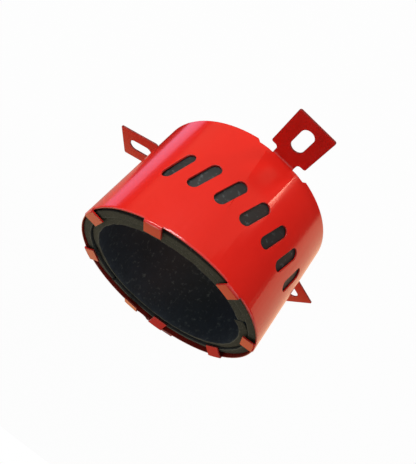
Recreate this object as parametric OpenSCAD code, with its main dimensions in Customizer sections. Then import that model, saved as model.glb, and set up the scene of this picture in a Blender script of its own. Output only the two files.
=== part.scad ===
// Pipe fire collar: a rolled sheet steel shell with folded front tabs and three
// fixing lugs, lined with two layers of intumescent strip. Sizes in millimetres.
// The wall plane is z = 0, the bore runs along +Z and the first lug lies on +X.

/* [Liner] */
// Diameter of the plastic pipe that passes through
pipe_d = 75; // [50:1:110]
// Room all round between the pipe and the liner
pipe_gap = 0.6; // [0.3:0.1:2]
// Thickness of one strip of the liner
strip_t = 4; // [2.5:0.5:6]
// Room between the two strips
layer_gap = 0.3; // [0.1:0.1:0.8]
// Room between the outer strip and the shell
wall_gap = 0.2; // [0.1:0.1:0.5]
// Depth of the outer strip's front face behind the rim
outer_recess = 0.9; // [0.5:0.1:4]
// Depth of the inner strip's front face behind the rim
inner_recess = 0.5; // [0.3:0.1:4]
// Height of both strips above the wall
strip_setback = 1.5; // [1:0.5:4]
// Rounding of the strips' long edges
strip_edge_r = 0.6; // [0.2:0.1:1]
// Angle of the inner strip's butt joint
inner_joint = -50; // [-180:1:180]
// Angle of the outer strip's butt joint
outer_joint = 150; // [-180:1:180]
// Width of a butt joint
joint_gap = 1.2; // [0.4:0.2:3]

/* [Shell] */
// Height of the shell from the wall to its front rim
shell_h = 62; // [50:1:90]
// Sheet thickness
sheet_t = 0.8; // [0.6:0.1:1.2]
// Step of the lapped end's edges in from the rim and from the wall
lap_drop = 0.3; // [0.2:0.1:1]
// Angle at which the outer end of the sheet stops
lap_end = 205.5; // [202:0.5:215]
// Length of the lap along the wall
lap_len = 16; // [14:1:18]
// Length in which the outer end steps out over the inner one
joggle_len = 5; // [3:1:8]

/* [Front tabs] */
// Width of a tab
tab_w = 8.2; // [5:0.1:10]
// Straight length of a tab past its fold
tab_leg = 6; // [4:0.1:8]
// Height of a tab's straight root above the rim
tab_rise = 0.2; // [0.2:0.1:1]
// Inside radius of a tab's fold
tab_fold_r = 0.2; // [0.2:0.1:1.2]
// Angle of the first tab, next to the inner end of the sheet
tab_first = -167; // [-170:1:-160]
// Angle from one tab to the next
tab_pitch = 48.6; // [46:0.1:49]
// Number of tabs
tab_count = 8; // [6:1:8]

/* [Lugs] */
// Angle of each lug around the bore
lug_angles = [0, 112, 244];
// Width of a lug's head
lug_w = 19.3; // [17:0.1:24]
// Reach of a lug from the shell to its tip
lug_reach = 26.2; // [22:0.1:34]
// Rounding of the head's corners
lug_corner_r = 1; // [0.5:0.1:2]
// Width of the neck that carries the head
lug_neck_w = 11.6; // [8:0.1:14]
// Radius of the notch between the neck and the head
lug_notch_r = 1.7; // [1:0.1:2.4]
// Room between the shell and the head
lug_gap = 3.1; // [2.5:0.1:4]
// Inside radius of the bend at the neck
lug_bend_r = 0.7; // [0.5:0.1:1.2]
// Width of the fixing slot
slot_w = 6.4; // [4.5:0.1:8]
// Overall length of the fixing slot
slot_len = 13.9; // [10:0.1:16]
// Distance from the shell to the middle of the slot
slot_mid = 14.4; // [12:0.1:17]
// Width of the cut in the back edge that frees the bend
relief_w = 28; // [26:0.5:34]
// Spare width of the flat each side of the bend
flat_margin = 0.8; // [0.4:0.1:2]
// Distance below the rim at which the flat has run out into the round
flat_fade = 6; // [3:1:12]

/* [Windows] */
// Number of slanted windows in the wall
window_count = 7; // [3:1:7]
// Width of a window
window_w = 5.4; // [3:0.1:7]
// Height of a window along the bore
window_h = 15.4; // [10:0.1:20]
// Lean of the windows
window_slant = 18; // [0:1:30]
// Height of the windows' middle above the wall
window_z = 32; // [28:0.5:34]
// Angle of the middle window
window_mid = -6; // [-10:1:0]
// Angle from one window to the next
window_pitch = 15.4; // [13:0.1:16]

/* [Hidden] */
$fn = 96;
shell_red = "#d22a1e";
strip_grey = "#33352e";

// Radii from the bore outwards
bore_r = pipe_d / 2 + pipe_gap;
inner_strip_r = bore_r + strip_t;
outer_bore_r = inner_strip_r + layer_gap;
outer_strip_r = outer_bore_r + strip_t;
shell_bore_r = outer_strip_r + wall_gap;
shell_r = shell_bore_r + sheet_t;

// Spare length by which a cut runs past what it cuts
past = 1;
// The tabs' fold, as its centre in the section, and the tabs' tips
fold_x = shell_bore_r - tab_fold_r;
fold_z = shell_h + tab_rise;
tab_tip_x = fold_x - tab_leg;
// Tongue inside the sheet's thickness that roots a lug in the wall
root_t = sheet_t / 2;
root_inset = (sheet_t - root_t) / 2;
root_depth = sheet_t;
// Span that reaches right across the part
span = 2 * (shell_r + lug_reach) + shell_h;

// The lap, as angles along the sheet
deg_per_mm = 180 / PI / shell_r;
lap_start = lap_end - lap_len * deg_per_mm;
joggle_start = lap_start - joggle_len * deg_per_mm;
// Depth of the pocket at the inner end, less than the sheet so that the rim stays whole
pocket_rise = 0.7 * sheet_t;

// The lug's neck, bend and flat, in the lug's own frame
head_x = shell_r + lug_gap;
bend_z = sheet_t + lug_bend_r;
notch_y = lug_neck_w / 2 + lug_notch_r;
flat_half = notch_y + flat_margin;
flat_d = sqrt(pow(shell_r, 2) - pow(flat_half, 2));
flat_tilt = atan2(shell_r - flat_d, shell_h - flat_fade - bend_z);

function at(r, a) = [r * cos(a), r * sin(a)];

// Plan of the lapped end of the sheet, from the ramp by which it steps out to its edge
module lap_plan() {
    foot = at(shell_r - sheet_t, joggle_start);
    top = at(shell_r + sheet_t, lap_start);
    intersection() {
        difference() {
            circle(shell_r + sheet_t);
            circle(shell_r - sheet_t / 2);
        }
        polygon([[0, 0], foot, 2 * top - foot, at(2 * shell_r, lap_end)]);
    }
}

// Plan of the pocket under the ramp, in front of the sheet's inner end
module pocket_plan() {
    foot = shell_bore_r - sheet_t;
    polygon([at(foot, lap_start), at(foot, joggle_start), at(shell_bore_r + pocket_rise, lap_start)]);
}

// Section from the axis out to one face of the sheet, turned in over the front
module folded_section(inset, low) {
    fold = tab_fold_r + sheet_t - inset;
    translate([0, low]) square([shell_r - inset, fold_z - low]);
    translate([0, low]) square([fold_x, fold_z + fold - low]);
    translate([fold_x, fold_z]) circle(fold);
}

// All that is cut away in front of the rim to leave the tabs
module tab_gaps() {
    difference() {
        translate([0, 0, shell_h]) cylinder(r = shell_r + sheet_t + past, h = span);
        for (i = [0:tab_count - 1]) rotate(tab_first + i * tab_pitch)
            translate([tab_tip_x, -tab_w / 2, 0]) cube([shell_r, tab_w, 2 * span]);
    }
}

// Takes away what lies outside the flat at each lug, which runs out into the round below the rim
module trim_flats(inset) {
    difference() {
        children();
        for (a = lug_angles) {
            rotate(a) translate([flat_d - inset, 0, bend_z]) rotate([0, flat_tilt, 0])
                translate([0, -span / 2, -span / 2]) cube(span);
        }
    }
}

// The rolled wall with its lap and its folded tabs
module rolled_wall() {
    difference() {
        trim_flats(0) {
            rotate_extrude() folded_section(0, 0);
            translate([0, 0, lap_drop]) linear_extrude(shell_h - 2 * lap_drop) lap_plan();
        }
        trim_flats(sheet_t) {
            rotate_extrude() folded_section(sheet_t, -past);
            translate([0, 0, -past]) linear_extrude(span) pocket_plan();
        }
        tab_gaps();
    }
}

// Fixing slot in plan, its length along the lug
module slot_plan() {
    between_ends = slot_len - slot_w;
    translate([shell_r + slot_mid, 0]) {
        square([between_ends, slot_w], center = true);
        for (side = [-1, 1]) translate([side * between_ends / 2, 0]) circle(d = slot_w);
    }
}

// Head of a lug in plan, with rounded corners
module head_plan() {
    r = lug_corner_r;
    reach = lug_reach - lug_gap;
    translate([head_x, -lug_w / 2]) {
        translate([r, 0]) square([reach - 2 * r, lug_w]);
        translate([0, r]) square([reach, lug_w - 2 * r]);
        for (x = [r, reach - r], y = [r, lug_w - r]) translate([x, y]) circle(r);
    }
}

// Neck of a lug in plan, from the bend to a little way into the head, flared by a round notch each side
module neck_plan() {
    start = flat_d + lug_bend_r;
    translate([start, -lug_neck_w / 2]) square([head_x + lug_corner_r - start, lug_neck_w]);
    difference() {
        translate([head_x - lug_notch_r, -notch_y]) square([lug_notch_r + lug_corner_r, 2 * notch_y]);
        for (side = [-1, 1]) translate([head_x - lug_notch_r, side * notch_y]) circle(lug_notch_r);
    }
}

// A lug bent out of the wall, with its notched neck and slotted head
module lug() {
    translate([flat_d + lug_bend_r, lug_neck_w / 2, bend_z]) rotate([90, 0, 0])
        linear_extrude(lug_neck_w) intersection() {
            difference() {
                circle(lug_bend_r + sheet_t);
                circle(lug_bend_r);
            }
            translate([-2 * bend_z, -2 * bend_z]) square(2 * bend_z);
        }
    translate([flat_d - sheet_t + root_inset, -lug_neck_w / 2 + root_inset, bend_z - root_inset])
        cube([root_t, lug_neck_w - 2 * root_inset, root_inset + root_depth]);
    linear_extrude(sheet_t) difference() {
        union() {
            neck_plan();
            head_plan();
        }
        slot_plan();
    }
}

// Cut in the back edge that frees the lug's bend, with slanted ends
module lug_relief() {
    half = relief_w / 2;
    depth = bend_z;
    translate([flat_d - relief_w / 4, 0, 0]) rotate([90, 0, 90]) linear_extrude(relief_w / 2)
        polygon([[-half - past, -past], [half + past, -past], [half - depth, depth], [-half + depth, depth]]);
}

// Slanted window with round ends, cut straight through the wall
module window() {
    straight = window_h / cos(window_slant) - window_w;
    translate([shell_r / 2, 0, window_z]) rotate([90, 0, 90]) rotate(-window_slant)
        linear_extrude(shell_r) {
            square([window_w, straight], center = true);
            for (side = [-1, 1]) translate([0, side * straight / 2]) circle(d = window_w);
        }
}

// A strip rolled into an open ring, with rounded long edges
module rolled_strip(r_in, r_out, low, high, joint) {
    half_gap = joint_gap / 2;
    difference() {
        rotate_extrude() translate([r_in, low]) rounded_section(r_out - r_in, high - low);
        rotate(joint) translate([0, -half_gap, low - past])
            cube([r_out + past, joint_gap, high - low + 2 * past]);
    }
}

// Section of a strip
module rounded_section(w, h) {
    r = min(strip_edge_r, w / 2);
    translate([r, 0]) square([w - 2 * r, h]);
    translate([0, r]) square([w, h - 2 * r]);
    for (x = [r, w - r], y = [r, h - r]) translate([x, y]) circle(r);
}

module shell() {
    color(shell_red) {
        difference() {
            rolled_wall();
            for (a = lug_angles) rotate(a) lug_relief();
            for (i = [0:window_count - 1]) {
                rotate(window_mid + (i - (window_count - 1) / 2) * window_pitch) window();
            }
        }
        for (a = lug_angles) rotate(a) lug();
    }
}

module outer_strip() {
    color(strip_grey) trim_flats(sheet_t + wall_gap)
        rolled_strip(outer_bore_r, outer_strip_r, strip_setback, shell_h - outer_recess, outer_joint);
}

module inner_strip() {
    color(strip_grey)
        rolled_strip(bore_r, inner_strip_r, strip_setback, shell_h - inner_recess, inner_joint);
}

shell();
outer_strip();
inner_strip();
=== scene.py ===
"""Looks of a pipe fire collar: a red powder-coated steel shell lined with two intumescent strips."""

import math

import bmesh
import bpy
from mathutils import Euler, Matrix, Vector, noise


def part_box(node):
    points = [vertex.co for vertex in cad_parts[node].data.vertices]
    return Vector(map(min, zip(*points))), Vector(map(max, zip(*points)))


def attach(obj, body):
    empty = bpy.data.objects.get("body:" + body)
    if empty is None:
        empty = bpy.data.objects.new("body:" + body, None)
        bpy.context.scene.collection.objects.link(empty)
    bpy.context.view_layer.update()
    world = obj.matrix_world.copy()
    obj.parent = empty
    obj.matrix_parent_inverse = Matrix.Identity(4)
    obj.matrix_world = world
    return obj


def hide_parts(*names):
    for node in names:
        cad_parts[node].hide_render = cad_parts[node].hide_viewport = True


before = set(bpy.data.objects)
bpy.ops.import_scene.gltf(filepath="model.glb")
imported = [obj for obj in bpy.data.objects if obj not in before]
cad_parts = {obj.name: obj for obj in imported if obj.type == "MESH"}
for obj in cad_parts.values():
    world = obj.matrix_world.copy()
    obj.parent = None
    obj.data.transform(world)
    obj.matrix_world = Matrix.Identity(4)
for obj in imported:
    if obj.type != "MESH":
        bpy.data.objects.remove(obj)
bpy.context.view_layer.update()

MM = 0.001

# Sizes of the collar, the same as in the part's source, in millimetres and degrees
SHEET_T = 0.8
SHELL_BORE_R = 46.6
SHELL_H = 62.0
TAB_W = 8.2
TAB_LEG = 6.0
TAB_RISE = 0.2
TAB_FOLD_R = 0.2
TAB_FIRST = -167.0
TAB_PITCH = 48.6
STRIP_T = 4.0
INNER_STRIP_BORE_R = 38.1
OUTER_STRIP_BORE_R = 42.4
INNER_JOINT = -50.0
OUTER_JOINT = 150.0
JOINT_GAP = 1.2

# Thickness of both strips together, and centre of the tabs' fold in the section
LINER_T = OUTER_STRIP_BORE_R + STRIP_T - INNER_STRIP_BORE_R
FOLD_X = SHELL_BORE_R - TAB_FOLD_R
FOLD_Z = SHELL_H + TAB_RISE

# Rounding of the strips' edges in millimetres, sharper than in the part's source, as a knife leaves them
STRIP_EDGE_R = 0.35
# Directions about the bore in degrees: where the liner leans in most, and where each strip stands highest
LEAN_SIDE = 16
OUTER_HIGH_SIDE = 30
INNER_HIGH_SIDE = 10
# How the tabs were bent by hand, counted along the sheet from its inner end: turn past a square
# fold in degrees, and sideways slip of the tip in millimetres
TAB_BENDS = ((20, 1.6), (17, 0.8), (4, 0.0), (0, 0.0), (-2, 0.8), (0, 0.0), (0, -1.4), (-6, -2.2))

# Level of the studio floor under the collar, in metres
FLOOR_Z = -0.2
# Where most lamps and cards are aimed: the middle of the collar, in metres
COLLAR_MIDDLE = Vector((0.0, 0.0, 0.5 * SHELL_H * MM))


def hex_colour(code):
    """Linear colour of an sRGB hex value."""
    channels = [int(code[i:i + 2], 16) / 255 for i in (1, 3, 5)]
    linear = [c / 12.92 if c <= 0.04045 else ((c + 0.055) / 1.055) ** 2.4 for c in channels]
    return (*linear, 1.0)


def per_metre(size_mm):
    """Texture scale whose features are about this many millimetres across."""
    return 1.0 / (size_mm * MM)


def add_node(tree, kind, settings=None, inputs=None):
    """A node with its settings, and its inputs set to a value or linked from a socket."""
    node = tree.nodes.new(kind)
    for name, value in (settings or {}).items():
        setattr(node, name, value)
    for name, value in (inputs or {}).items():
        if isinstance(value, bpy.types.NodeSocket):
            tree.links.new(value, node.inputs[name])
        else:
            node.inputs[name].default_value = value
    return node


def new_material(name):
    """An empty material and its node tree."""
    material = bpy.data.materials.new(name)
    material.use_nodes = True
    material.node_tree.nodes.clear()
    return material, material.node_tree


def place_on_piece(tree):
    """The place of each point on the piece, for textures to follow."""
    return add_node(tree, "ShaderNodeTexCoord").outputs["Object"]


def powder_coat():
    """Gloss polyester powder coat on rolled steel: a deep warm red with a clear sharp gloss, a faint
    orange peel in its reflections, and a darker, duller maroon over edges and folds, where the paint
    thins and painted shade is added, and inside the shell, where it is painted shade."""
    material, tree = new_material("powder_coat_gloss_red")
    place = place_on_piece(tree)
    # Slow drift of the film's thickness, about 30 mm across
    drift = add_node(tree, "ShaderNodeTexNoise", inputs={
        "Vector": place, "Scale": per_metre(30), "Detail": 3.0, "Roughness": 0.55}).outputs["Fac"]
    red = add_node(tree, "ShaderNodeMix", {"data_type": "RGBA"}, {
        "Factor": drift, "A": hex_colour("#da2018"), "B": hex_colour("#e6261a")}).outputs["Result"]
    # Painted shade and thinned paint: marked faces go dark maroon; edges and folds are partly thinned paint
    # and partly painted shade, the inside of the shell is painted shade
    edge = add_node(tree, "ShaderNodeAttribute", {"attribute_name": "thinned_paint_and_shade"}).outputs["Fac"]
    rubs = add_node(tree, "ShaderNodeTexNoise", inputs={
        "Vector": place, "Scale": per_metre(1.6), "Detail": 4.0, "Roughness": 0.7}).outputs["Fac"]
    darkening = add_node(tree, "ShaderNodeMapRange", inputs={
        "Value": rubs, "From Min": 0.3, "From Max": 0.7, "To Min": 0.75, "To Max": 1.0}).outputs["Result"]
    thinned_and_shaded_share = add_node(tree, "ShaderNodeMath", {"operation": "MULTIPLY"}, {
        0: edge, 1: darkening}).outputs["Value"]
    # Mix to the dark maroon of thinned paint and painted shade
    colour = add_node(tree, "ShaderNodeMix", {"data_type": "RGBA"}, {
        "Factor": thinned_and_shaded_share, "A": red, "B": hex_colour("#6e1a12")}).outputs["Result"]
    gloss = add_node(tree, "ShaderNodeMapRange", inputs={
        "Value": drift, "To Min": 0.13, "To Max": 0.2}).outputs["Result"]
    roughness = add_node(tree, "ShaderNodeMix", {"data_type": "FLOAT"}, {
        "Factor": thinned_and_shaded_share, "A": gloss, "B": 0.3}).outputs["Result"]
    # Orange peel is about 1 mm across; it is drawn at 2.5 mm so that it shows
    peel = add_node(tree, "ShaderNodeTexNoise", inputs={
        "Vector": place, "Scale": per_metre(2.5), "Detail": 1.0, "Roughness": 0.4}).outputs["Fac"]
    bump = add_node(tree, "ShaderNodeBump", inputs={
        "Height": peel, "Strength": 0.03, "Distance": 0.15 * MM}).outputs["Normal"]
    paint = add_node(tree, "ShaderNodeBsdfPrincipled", inputs={
        "Base Color": colour, "Roughness": roughness, "Normal": bump, "IOR": 1.5})
    add_node(tree, "ShaderNodeOutputMaterial", inputs={"Surface": paint.outputs["BSDF"]})
    return material


def cut_strip():
    """Cut edge of a graphite intumescent strip: matt, dark olive grey, with pale mineral grains, and
    a lighter line along the edge of the bore, which is a painted highlight."""
    material, tree = new_material("intumescent_strip_cut_edge")
    place = place_on_piece(tree)
    tone = add_node(tree, "ShaderNodeTexNoise", inputs={
        "Vector": place, "Scale": per_metre(5), "Detail": 4.0, "Roughness": 0.65}).outputs["Fac"]
    grey = add_node(tree, "ShaderNodeMix", {"data_type": "RGBA"}, {
        "Factor": tone, "A": hex_colour("#1c1b0f"), "B": hex_colour("#32301d")}).outputs["Result"]
    # Graphite flakes are 0.3 mm; they are drawn at 0.9 mm so that they show
    flakes = add_node(tree, "ShaderNodeTexVoronoi", inputs={
        "Vector": place, "Scale": per_metre(0.9)}).outputs["Distance"]
    flake_share = add_node(tree, "ShaderNodeMapRange", inputs={
        "Value": flakes, "From Min": 0.12, "From Max": 0.3, "To Min": 0.35, "To Max": 0.0}).outputs["Result"]
    grained = add_node(tree, "ShaderNodeMix", {"data_type": "RGBA"}, {
        "Factor": flake_share, "A": grey, "B": hex_colour("#7a7a6a")}).outputs["Result"]
    # Painted highlight: a lighter line on the rounding at the bore's front
    edge = add_node(tree, "ShaderNodeAttribute", {"attribute_name": "painted_edge_highlight"}).outputs["Fac"]
    edge_highlight = add_node(tree, "ShaderNodeMath", {"operation": "MULTIPLY"}, {
        0: edge, 1: tone}).outputs["Value"]
    colour = add_node(tree, "ShaderNodeMix", {"data_type": "RGBA"}, {
        "Factor": edge_highlight, "A": grained, "B": hex_colour("#66665a")}).outputs["Result"]
    bump = add_node(tree, "ShaderNodeBump", inputs={
        "Height": flakes, "Strength": 0.4, "Distance": 0.25 * MM}).outputs["Normal"]
    strip = add_node(tree, "ShaderNodeBsdfPrincipled", inputs={
        "Base Color": colour, "Roughness": 0.85, "Normal": bump, "IOR": 1.45})
    add_node(tree, "ShaderNodeOutputMaterial", inputs={"Surface": strip.outputs["BSDF"]})
    return material


def faced_strip(name, dark_code, light_code):
    """Rolled face of the strip: smoother, blue-black, with a dull sheen and blurred paler grains."""
    material, tree = new_material(name)
    place = place_on_piece(tree)
    tone = add_node(tree, "ShaderNodeTexNoise", inputs={
        "Vector": place, "Scale": per_metre(9), "Detail": 5.0, "Roughness": 0.6}).outputs["Fac"]
    dark = add_node(tree, "ShaderNodeMix", {"data_type": "RGBA"}, {
        "Factor": tone, "A": hex_colour(dark_code), "B": hex_colour(light_code)}).outputs["Result"]
    grains = add_node(tree, "ShaderNodeTexNoise", inputs={
        "Vector": place, "Scale": per_metre(2), "Detail": 2.0, "Roughness": 0.6}).outputs["Fac"]
    grain_share = add_node(tree, "ShaderNodeMapRange", inputs={
        "Value": grains, "From Min": 0.58, "From Max": 0.74, "To Min": 0.0, "To Max": 0.6}).outputs["Result"]
    colour = add_node(tree, "ShaderNodeMix", {"data_type": "RGBA"}, {
        "Factor": grain_share, "A": dark, "B": hex_colour("#5c6666")}).outputs["Result"]
    bump = add_node(tree, "ShaderNodeBump", inputs={
        "Height": tone, "Strength": 0.25, "Distance": 0.3 * MM}).outputs["Normal"]
    strip = add_node(tree, "ShaderNodeBsdfPrincipled", inputs={
        "Base Color": colour, "Roughness": 0.6, "Normal": bump, "IOR": 1.45})
    add_node(tree, "ShaderNodeOutputMaterial", inputs={"Surface": strip.outputs["BSDF"]})
    return material


def link_piece(name, bm, materials):
    """A bmesh made into a piece of the scene, with its materials."""
    mesh = bpy.data.meshes.new(name)
    bm.to_mesh(mesh)
    bm.free()
    piece = bpy.data.objects.new(name, mesh)
    for material in materials:
        mesh.materials.append(material)
    bpy.context.scene.collection.objects.link(piece)
    return piece


def bend_tabs(bm):
    """Bends each tab a little further or less far about its own fold, and slips its tip sideways."""
    half_reach = 0.6 * TAB_W
    for i, (turn, slip) in enumerate(TAB_BENDS):
        facing = Matrix.Rotation(math.radians(TAB_FIRST + i * TAB_PITCH), 3, "Z")
        for vert in bm.verts:
            local = facing.inverted() @ vert.co / MM
            out, up = local.x - FOLD_X, local.z - FOLD_Z
            if up <= 0.0 or local.x < 0.0 or abs(local.y) > half_reach:
                continue
            share = min(1.0, math.atan2(up, out) / (math.pi / 2))
            swing = math.radians(turn) * share
            local.x = FOLD_X + out * math.cos(swing) - up * math.sin(swing)
            local.z = FOLD_Z + out * math.sin(swing) + up * math.cos(swing)
            local.y += slip * max(0.0, -out / TAB_LEG)
            vert.co = facing @ local * MM


def lift_lap(bm):
    """Lifts the outer edge of the lapped end a little past the rim, so that it shows behind the rim."""
    lift_mm, most_drop_mm = 0.6, 1.0
    least_proud_mm = 0.5 * SHEET_T
    for vert in bm.verts:
        proud = vert.co.xy.length / MM - SHELL_BORE_R - SHEET_T
        drop = SHELL_H - vert.co.z / MM
        if proud > least_proud_mm and 0.0 < drop < most_drop_mm:
            vert.co.z += lift_mm * MM


def edges_meeting(bm, least, most):
    """Edges whose two faces turn by an angle in this range, in degrees."""
    return [e for e in bm.edges if e.is_manifold and least < math.degrees(e.calc_face_angle()) < most]


def round_edges(bm, edges, reach_mm, segments, clamp):
    """Rounds edges off, this far to each side of them, and gives the new faces. The clamp keeps to the
    narrowest face beside any of the edges."""
    rounded = bmesh.ops.bevel(
        bm, geom=edges, offset=reach_mm * MM, offset_type="OFFSET", segments=segments, profile=0.5,
        affect="EDGES", clamp_overlap=clamp, material=-1)
    return rounded["faces"]


def on_outer_rim(vert):
    """True for a vertex on the outer edge of the rim between the tabs."""
    level_mm = 0.05
    least_out_mm = 0.75 * SHEET_T
    out = vert.co.xy.length / MM - SHELL_BORE_R
    return abs(vert.co.z / MM - SHELL_H) < level_mm and out > least_out_mm


def roll_rim(bm):
    """Rolls the outer edge of the rim in a little between the tabs, as shearing leaves it."""
    roll_mm, inward_mm = 1.2, 0.32
    start = Vector((0, 0, (SHELL_H - roll_mm) * MM))
    everything = bm.verts[:] + bm.edges[:] + bm.faces[:]
    bmesh.ops.bisect_plane(bm, geom=everything, plane_co=start, plane_no=(0, 0, 1))
    for vert in bm.verts:
        if on_outer_rim(vert):
            vert.co -= vert.co.xy.normalized().to_3d() * inward_mm * MM


def darken_lug_edges(bm, thinned_and_shaded):
    """Marks the sides of the lugs, where the paint thins over the edge of the sheet and where painted
    shade is added, as those sides face away from the light.
    """
    lug_start = (SHELL_BORE_R + 3 * SHEET_T) * MM
    most_rise = 0.5
    for face in bm.faces:
        on_lug = face.calc_center_median().xy.length > lug_start
        face[thinned_and_shaded] = 1.0 if on_lug and abs(face.normal.z) < most_rise else 0.0


def shade_inside(bm, thinned_and_shaded):
    """Marks the faces that look in at the bore with painted shade, as the inside of the shell lies in shade.
    """
    # Share of painted shade on the faces inside the shell
    darkening, looks_in = 0.9, -0.5
    for face in bm.faces:
        out = face.calc_center_median() * Vector((1, 1, 0))
        if face.normal.dot(out.normalized()) < looks_in:
            face[thinned_and_shaded] = max(face[thinned_and_shaded], darkening)


def dress_shell(paint):
    """The shell with its tabs bent by hand, its flats' creases eased and its sheet edges rounded."""
    merge_mm, shortest_crease_mm = 0.002, 4.0
    edge_reach_mm, edge_segments = 0.15, 2
    crease_reach_mm, crease_segments = 1.2, 4
    # Angles between faces in degrees, from faces of one plane to a sheet folded flat
    one_plane, facet, crease, corner, fold = 0.2, 5.5, 16, 40, 180
    bm = bmesh.new()
    bm.from_mesh(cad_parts["shell"].data)
    bmesh.ops.remove_doubles(bm, verts=bm.verts, dist=merge_mm * MM)
    bmesh.ops.dissolve_limit(bm, angle_limit=math.radians(one_plane), verts=bm.verts, edges=bm.edges)
    bend_tabs(bm)
    lift_lap(bm)
    # Layer of faces painted dark maroon: thinned paint over edges, and painted shade over edges, folds and
    # the inside
    thinned_and_shaded = bm.faces.layers.float.new("thinned_paint_and_shade")
    darken_lug_edges(bm, thinned_and_shaded)
    creases = [e for e in edges_meeting(bm, facet, corner)
               if e.calc_length() > shortest_crease_mm * MM and abs(e.verts[0].co.z - e.verts[1].co.z) > MM]
    round_edges(bm, creases, crease_reach_mm, crease_segments, clamp=True)
    roll_rim(bm)
    for face in bm.faces:
        face.smooth = True
    for edge in edges_meeting(bm, crease, fold):
        edge.smooth = False
    corners = edges_meeting(bm, corner, fold)
    # The rounded corners, tab folds among them, go dark maroon: partly thinned paint, partly painted shade
    for face in round_edges(bm, corners, edge_reach_mm, edge_segments, clamp=False):
        face[thinned_and_shaded] = 1.0
        face.smooth = True
        for edge in face.edges:
            edge.smooth = True
    bmesh.ops.dissolve_degenerate(bm, dist=merge_mm * MM, edges=bm.edges)
    shade_inside(bm, thinned_and_shaded)
    piece = link_piece("collar_shell", bm, [paint])
    flat_faces = piece.modifiers.new("flat_faces", "WEIGHTED_NORMAL")
    flat_faces.keep_sharp = True
    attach(piece, "root")
    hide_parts("shell")


def draw_section(bm, bore_r, low, high):
    """A strip's section with rounded corners, cut into short edges so that it can settle."""
    cuts_up, cuts_across, edge_segments = 23, 5, 3
    ends = (bore_r * MM, (bore_r + STRIP_T) * MM)
    heights = (low, low, high, high)
    corners = [bm.verts.new((x, 0, z)) for x, z in zip(ends + ends[::-1], heights)]
    for a, b in zip(corners, corners[1:] + corners[:1]):
        bm.edges.new((a, b))
    bmesh.ops.bevel(bm, geom=bm.verts[:] + bm.edges[:], offset=STRIP_EDGE_R * MM, offset_type="OFFSET",
                    segments=edge_segments, profile=0.5, affect="VERTICES", clamp_overlap=True, material=-1)
    tall = [e for e in bm.edges if e.calc_length() > STRIP_T * MM]
    wide = [e for e in bm.edges if 0.5 * STRIP_T * MM < e.calc_length() < STRIP_T * MM]
    bmesh.ops.subdivide_edges(bm, edges=tall, cuts=cuts_up)
    bmesh.ops.subdivide_edges(bm, edges=wide, cuts=cuts_across)


def mark_cut_edge(bm):
    """Gives the cut edges of a rolled strip the first material and its rolled faces the second, and
    marks the rounding at the bore's front for a painted highlight."""
    # Rise of a face's normal from which it belongs to the cut edge, and from which it lies flat
    cut_rise, flat_rise = 0.2, 0.98
    # Layer for the painted highlight along the bore's front edge
    edge_highlight = bm.faces.layers.float.new("painted_edge_highlight")
    for face in bm.faces:
        inwards = -face.normal.dot(face.calc_center_median() * Vector((1, 1, 0)))
        face.smooth = True
        face.material_index = 0 if abs(face.normal.z) > cut_rise else 1
        face[edge_highlight] = 1.0 if cut_rise < face.normal.z < flat_rise and inwards > 0 else 0.0


def roll_strip(name, node, bore_r, joint, materials, settle):
    """A liner strip: a rounded section rolled into an open ring, then eased where it isn't held."""
    steps, sharp_angle = 216, 50
    low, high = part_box(node)
    gap = 2 * math.asin(JOINT_GAP / 2 / bore_r)
    bm = bmesh.new()
    draw_section(bm, bore_r, low.z, high.z)
    start = Matrix.Rotation(math.radians(joint) + gap / 2, 3, "Z")
    bmesh.ops.rotate(bm, cent=(0, 0, 0), matrix=start, verts=bm.verts)
    bmesh.ops.spin(bm, geom=bm.verts[:] + bm.edges[:], cent=(0, 0, 0), axis=(0, 0, 1), dvec=(0, 0, 0),
                   angle=2 * math.pi - gap, steps=steps, use_merge=False, use_duplicate=False)
    bmesh.ops.holes_fill(bm, edges=[e for e in bm.edges if e.is_boundary], sides=0)
    bmesh.ops.recalc_face_normals(bm, faces=bm.faces)
    mark_cut_edge(bm)
    for vert in bm.verts:
        settle(vert)
    piece = link_piece(name, bm, materials)
    piece.data.set_sharp_from_angle(angle=math.radians(sharp_angle))
    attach(piece, "root")
    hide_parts(node)


def towards(angle, side):
    """1 on one side of the ring, falling to -1 on the opposite side; both angles in degrees."""
    return math.cos(math.radians(angle - side))


def ripple(vert, size_mm):
    """An uneven wave from -1 to 1, with features about this many millimetres across."""
    return noise.noise(vert.co / (size_mm * MM))


def ease(vert, rise, droop, inward):
    """Moves a strip's vertex near the front: up, down at the strip's back, and in towards the bore."""
    held_below, front_height = 30.0, 31.0
    turn = math.atan2(vert.co.y, vert.co.x)
    radius = math.hypot(vert.co.x, vert.co.y) / MM
    height = vert.co.z / MM
    front = min(1.0, max(0.0, (height - held_below) / front_height))
    radius -= front * inward
    height += front * (rise - droop)
    vert.co = Vector((radius * math.cos(turn), radius * math.sin(turn), height)) * MM


def ring_place(vert, bore_r):
    """Angle of a strip's vertex in degrees, and its depth into the strip from 0 to 1."""
    depth = (math.hypot(vert.co.x, vert.co.y) / MM - bore_r) / STRIP_T
    return math.degrees(math.atan2(vert.co.y, vert.co.x)), depth


def lean(vert, angle):
    """How far the liner leans away from the shell at the front, near the first lug, in millimetres; it
    is pressed together there, so its outer face leans more than its bore."""
    bore_lean, extra_lean = 1.3, 1.2
    across = (math.hypot(vert.co.x, vert.co.y) / MM - INNER_STRIP_BORE_R) / LINER_T
    return (bore_lean + extra_lean * across) * max(0.0, towards(angle, LEAN_SIDE)) ** 2


def settle_outer(vert):
    """The outer strip stands flush at the lean and lies deeper opposite, with a wavy cut edge."""
    level, tilt, wave, wave_size = 0.25, 0.55, 0.2, 9
    droop_level, droop_swing = 0.6, 0.6
    angle, depth = ring_place(vert, OUTER_STRIP_BORE_R)
    high = towards(angle, OUTER_HIGH_SIDE)
    rise = level + tilt * high + wave * ripple(vert, wave_size)
    droop = depth * (droop_level - droop_swing * high)
    ease(vert, rise, droop, lean(vert, angle))


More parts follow.
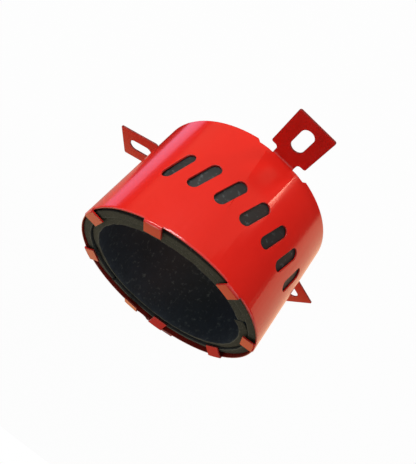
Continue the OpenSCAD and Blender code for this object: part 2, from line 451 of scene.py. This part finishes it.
def settle_inner(vert):
    """The inner strip lies deeper opposite the lean, droops towards the outer strip, has a crumbled edge
    at the bore, and its end lifts away from the outer strip at the joint."""
    level, tilt, wave, wave_size = -0.35, 0.75, 0.2, 8
    droop_level, droop_swing = 0.9, 0.7
    crumb, crumb_size = 0.35, 2.5
    lift_span, lift, closed_gap = 16.0, 2.4, 0.28
    angle, depth = ring_place(vert, INNER_STRIP_BORE_R)
    high = towards(angle, INNER_HIGH_SIDE)
    past_joint = (INNER_JOINT - angle) % 360
    lifted = lift * max(0.0, 1 - past_joint / lift_span) ** 2
    rise = level + tilt * high + wave * ripple(vert, wave_size)
    crumbled = crumb * ripple(vert, crumb_size) * (1 - depth)
    droop = depth * (droop_level - droop_swing * high)
    closing = closed_gap * max(0.0, high)
    ease(vert, rise, droop, lean(vert, angle) + lifted - closing + crumbled)


def seen_white(tree):
    """1 for rays that look at the surroundings or mirror them, 0 for the light they give."""
    path = add_node(tree, "ShaderNodeLightPath").outputs
    direct = add_node(tree, "ShaderNodeMath", {"operation": "MAXIMUM"}, {
        0: path["Is Camera Ray"], 1: path["Is Glossy Ray"]}).outputs["Value"]
    return add_node(tree, "ShaderNodeMath", {"operation": "MAXIMUM"}, {
        0: direct, 1: path["Is Transmission Ray"]}).outputs["Value"]


def lay_floor():
    """A pale floor that reads as a white backdrop and still takes the collar's shadow."""
    white_share = 0.97
    half_width = 40.0
    material, tree = new_material("studio_paper_white")
    share = add_node(tree, "ShaderNodeMath", {"operation": "MULTIPLY"}, {
        0: seen_white(tree), 1: white_share}).outputs["Value"]
    paper = add_node(tree, "ShaderNodeBsdfDiffuse", inputs={"Color": hex_colour("#f4f4f2")})
    glow = add_node(tree, "ShaderNodeEmission", inputs={"Color": hex_colour("#ffffff"), "Strength": 1.0})
    mixed = add_node(tree, "ShaderNodeMixShader", inputs={
        "Fac": share, 1: paper.outputs["BSDF"], 2: glow.outputs["Emission"]})
    add_node(tree, "ShaderNodeOutputMaterial", inputs={"Surface": mixed.outputs["Shader"]})
    bm = bmesh.new()
    bmesh.ops.create_grid(bm, x_segments=1, y_segments=1, size=half_width)
    bmesh.ops.translate(bm, verts=bm.verts, vec=(0, 0, FLOOR_Z))
    link_piece("studio_floor", bm, [material])


def light_world():
    """Even white surroundings: full white where they are seen or mirrored, softer as light."""
    ambient = 0.3
    world = bpy.data.worlds.new("white_studio")
    bpy.context.scene.world = world
    world.use_nodes = True
    tree = world.node_tree
    tree.nodes.clear()
    level = add_node(tree, "ShaderNodeMapRange", inputs={
        "Value": seen_white(tree), "To Min": ambient, "To Max": 1.0}).outputs["Result"]
    sky = add_node(tree, "ShaderNodeBackground", inputs={"Color": hex_colour("#ffffff"), "Strength": level})
    add_node(tree, "ShaderNodeOutputWorld", inputs={"Surface": sky.outputs["Background"]})


def turn_towards(place, aim):
    """Turn that points a lamp or card from its place at an aim, with its height kept upright."""
    return (aim - Vector(place)).to_track_quat("-Z", "Y")


def around(azimuth, elevation, distance):
    """A place round the collar, by its angles in degrees and its distance in metres."""
    turn, tilt = math.radians(azimuth), math.radians(elevation)
    level = distance * math.cos(tilt)
    return COLLAR_MIDDLE + Vector((level * math.cos(turn), level * math.sin(turn), distance * math.sin(tilt)))


def add_lamp(name, place, width, height, power, colour="#ffffff", aim=COLLAR_MIDDLE):
    """A rectangular soft box, with sizes in metres and power in watts."""
    data = bpy.data.lights.new(name, "AREA")
    data.shape = "RECTANGLE"
    data.size = width
    data.size_y = height
    data.energy = power
    data.color = hex_colour(colour)[:3]
    lamp = bpy.data.objects.new(name, data)
    lamp.location = place
    lamp.rotation_euler = turn_towards(place, aim).to_euler()
    lamp.visible_camera = False
    bpy.context.scene.collection.objects.link(lamp)


def stand_card(name, place, width, height, colour, strength=1.0, aim=COLLAR_MIDDLE, roll=0.0):
    """A card beside the collar that only shows as a reflection in its gloss, with sizes in metres."""
    material, tree = new_material(name)
    glow = add_node(tree, "ShaderNodeEmission", inputs={"Color": hex_colour(colour), "Strength": strength})
    add_node(tree, "ShaderNodeOutputMaterial", inputs={"Surface": glow.outputs["Emission"]})
    half_unit = 0.5
    rolled = Matrix.Rotation(math.radians(roll), 3, "Z")
    turned = turn_towards(place, aim).to_matrix()
    bm = bmesh.new()
    bmesh.ops.create_grid(bm, x_segments=1, y_segments=1, size=half_unit)
    bmesh.ops.scale(bm, vec=(width, height, 1), verts=bm.verts)
    bmesh.ops.rotate(bm, cent=(0, 0, 0), matrix=rolled, verts=bm.verts)
    bmesh.ops.rotate(bm, cent=(0, 0, 0), matrix=turned, verts=bm.verts)
    bmesh.ops.translate(bm, verts=bm.verts, vec=place)
    card = link_piece(name, bm, [material])
    card.visible_camera = False
    card.visible_diffuse = False
    card.visible_shadow = False
    card.visible_transmission = False


def place_lamps():
    """A soft key low in front, fills behind and on the right, and a small lamp for the crease by the
    first lug."""
    add_lamp("key_softbox", place=(0.654, 0.589, -0.03), width=0.6, height=0.16, power=5.2)
    add_lamp("back_fill", place=around(150, 62, 0.9), width=0.3, height=0.3, power=1.7)
    add_lamp("crease_lamp", place=(0.246, -0.087, -0.166), width=0.04, height=0.05, power=0.12,
             colour="#ffc0a8", aim=Vector((0.047, -0.008, 0.014)))
    add_lamp("right_fill", place=around(-45, 8, 0.9), width=0.3, height=0.3, power=0.35)


def place_wall_cards():
    """Cards that the wall mirrors: pink on its left flank, tan on its right, dark felt below the collar,
    and a beige and a grey card that lie on the felt."""
    stand_card("pink_card", place=(-0.071, 0.210, -0.085), width=0.085, height=0.15, colour="#ffc4f0",
               strength=1.25, aim=Vector((0.106, 0.093, 0.047)), roll=20)
    stand_card("tan_card", place=(-0.0724, -0.1927, -0.0615), width=0.285, height=0.275,
               colour="#ffcca8", strength=1.35, aim=Vector((0.042, -0.069, 0.044)), roll=-49)
    stand_card("dark_felt", place=(0.0, 0.0, -0.19), width=2.4, height=2.4, colour="#161412")
    stand_card("beige_card", place=(-0.69, 0.3, -0.188), width=0.8, height=0.8, colour="#b8a090",
               aim=Vector((-0.69, 0.3, 0.0)))
    stand_card("grey_card", place=(0.5, 0.5, -0.185), width=1.0, height=1.2, colour="#9a9078",
               aim=Vector((0.5, 0.5, 0.0)))


def place_tab_cards():
    """Cards that the tabs and lugs mirror: cream at the back left, straw and linen behind, a ceiling
    above those, and brown behind them all."""
    stand_card("cream_card", place=around(158, 18.5, 1.5), width=0.97, height=0.56, colour="#fff0b4",
               strength=0.95)
    stand_card("straw_card", place=around(190.5, 14.5, 1.5), width=0.78, height=0.77, colour="#f4cc8c")
    stand_card("linen_card", place=around(182, 31, 1.5), width=0.5, height=0.2, colour="#f4cc8c")
    stand_card("ceiling_card", place=around(180, 53, 1.5), width=1.2, height=0.9, colour="#957f68")
    stand_card("brown_card", place=around(190, 38, 2.2), width=4.4, height=3.4, colour="#3a2a22")


def place_camera():
    """The photograph's view: in front of the first lug, above the rim, rolled so that the bore faces
    down left."""
    turns = (-53.114, 31.181, -59.535)
    data = bpy.data.cameras.new("photo_camera")
    data.sensor_width = 36.0
    data.lens = 37.44
    data.shift_x = -0.0829
    data.shift_y = 0.0552
    data.clip_start = 0.01
    camera = bpy.data.objects.new("photo_camera", data)
    camera.location = (0.20227, 0.01257, 0.14393)
    camera.rotation_euler = Euler([math.radians(a) for a in turns], "XYZ")
    bpy.context.scene.collection.objects.link(camera)
    bpy.context.scene.camera = camera


bpy.context.scene.view_settings.view_transform = "Standard"
place_camera()
light_world()
lay_floor()
place_lamps()
place_wall_cards()
place_tab_cards()
dress_shell(powder_coat())
cut_edge = cut_strip()
# The back face, seen through the windows, is a darker copy of the rolled face: painted shade for the gap
# behind the shell
shaded_back_face = faced_strip("intumescent_strip_back_face_shaded", "#0a0c0d", "#1f2322")
bore_face = faced_strip("intumescent_strip_bore_face", "#0b1218", "#1b2733")
roll_strip("outer_liner_strip", "outer_strip", OUTER_STRIP_BORE_R, OUTER_JOINT,
           [cut_edge, shaded_back_face], settle_outer)
roll_strip("inner_liner_strip", "inner_strip", INNER_STRIP_BORE_R, INNER_JOINT,
           [cut_edge, bore_face], settle_inner)
